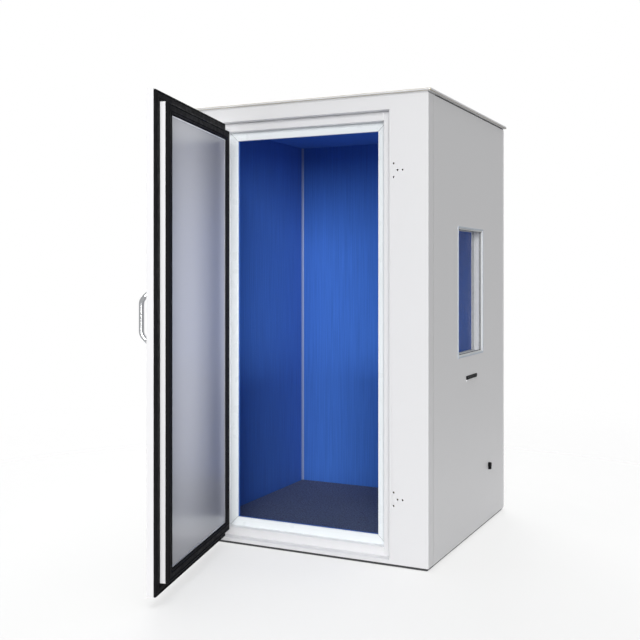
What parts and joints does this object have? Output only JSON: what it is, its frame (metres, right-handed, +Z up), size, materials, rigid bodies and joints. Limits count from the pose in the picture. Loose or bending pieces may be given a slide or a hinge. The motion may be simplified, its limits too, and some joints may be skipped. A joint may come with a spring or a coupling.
{
  "type": "hearing test booth",
  "caption": "Single-person soundproof cabin with a rebated double-seal swing door, side window, sockets, fan and lined interior.",
  "frame": {"origin": "centre of the cabin's footprint, on the floor under the isolation mat", "axes": "+X to the right seen from the door side, +Y towards the back wall, +Z up; the door is on the -Y side"},
  "size_m": [1.358, 2.2385, 2.246],
  "materials": {
    "white_steel": "smooth white powder coat, satin",
    "grey_laminate": "satin grey laminate with a soft reflection",
    "seal_rubber": "matt black cellular rubber",
    "mat_rubber": "coarse recycled rubber",
    "blue_fabric": "woven royal-blue acoustic cloth",
    "carpet_fabric": "blue-grey looped carpet",
    "grey_rubber": "grey cellular rubber",
    "white_rubber": "white glazing rubber",
    "mineral_wool": "pressed mineral wool slab",
    "board": "particle board",
    "frame_aluminium": "white-anodised profile",
    "satin_aluminium": "satin anodised",
    "trim_steel": "brushed, fine vertical grain",
    "polished_steel": "polished",
    "dark_steel": "phosphated steel",
    "clear_glass": "clear laminated glass",
    "black_plastic": "fine-grained black moulding",
    "white_plastic": "moulded, satin gloss",
    "opal_plastic": "opal diffuser",
    "grey_plastic": "fan moulding"
  },
  "bodies": {
    "booth": {"isolation_mat": "mat_rubber", "floor_pan": "white_steel", "floor_core": "board", "carpet": "carpet_fabric", "left_wall_skin": "white_steel", "left_wall_core": "mineral_wool", "left_lining": "blue_fabric", "right_wall_skin": "white_steel", "right_wall_core": "mineral_wool", "right_lining": "blue_fabric", "back_wall_skin": "white_steel", "back_wall_core": "mineral_wool", "back_lining": "blue_fabric", "front_skin": "white_steel", "front_core": "mineral_wool", "front_board": "board", "front_lining": "blue_fabric", "rebate_frame": "white_steel", "inner_frame": "frame_aluminium", "corner_trims": "satin_aluminium", "roof_cap": "white_steel", "roof_core": "mineral_wool", "roof_seal": "grey_rubber", "ceiling_lining": "blue_fabric", "window_outer_trim": "satin_aluminium", "window_inner_trim": "satin_aluminium", "window_reveal": "white_steel", "window_outer_glass": "clear_glass", "window_inner_glass": "clear_glass", "glazing_seals": "white_rubber", "jack_strip": "black_plastic", "jack_sockets": "black_plastic", "jack_ledge": "white_steel", "cable_outlet": "black_plastic", "hinge_backers": "dark_steel", "hinge_frame_plates": "trim_steel", "hinge_pins": "polished_steel", "hinge_washers": "white_plastic", "hinge_frame_screws": "trim_steel", "fan_ring": "grey_plastic", "roof_cowl": "white_steel", "ceiling_grille": "white_plastic", "inlet_duct": "white_steel", "inlet_louvre": "white_steel", "inlet_inner_grille": "satin_aluminium", "lamp_base": "white_plastic", "lamp_diffuser": "opal_plastic", "switch_plate": "white_plastic"},
    "door": {"door_skin": "white_steel", "door_core": "mineral_wool", "door_pan": "white_steel", "leaf_seal": "seal_rubber", "core_seal": "seal_rubber", "door_panel": "grey_laminate", "door_hinges": "trim_steel", "door_hinge_screws": "trim_steel", "door_handle": "polished_steel"},
    "fan": {"fan_rotor": "black_plastic"},
    "light_switch": {"light_rocker": "white_plastic"},
    "fan_switch": {"fan_rocker": "white_plastic"}
  },
  "joints": [
    {"name": "door_swing", "type": "hinge", "parent": "booth", "child": "door", "pos_m": [-0.472, -0.677, 1.174], "axis": [0, 0, -1], "range_deg": [-75.8, 44.2]},
    {"name": "fan_spin", "type": "hinge", "parent": "booth", "child": "fan", "pos_m": [0.3, 0.3, 2.162], "axis": [0, 0, 1], "continuous": true},
    {"name": "light_rocker_tilt", "type": "hinge", "parent": "booth", "child": "light_switch", "pos_m": [0.503, -0.536, 1.18], "axis": [1, 0, 0], "range_deg": [0, 12]},
    {"name": "fan_rocker_tilt", "type": "hinge", "parent": "booth", "child": "fan_switch", "pos_m": [0.528, -0.536, 1.18], "axis": [1, 0, 0], "range_deg": [0, 12]}
  ]
}
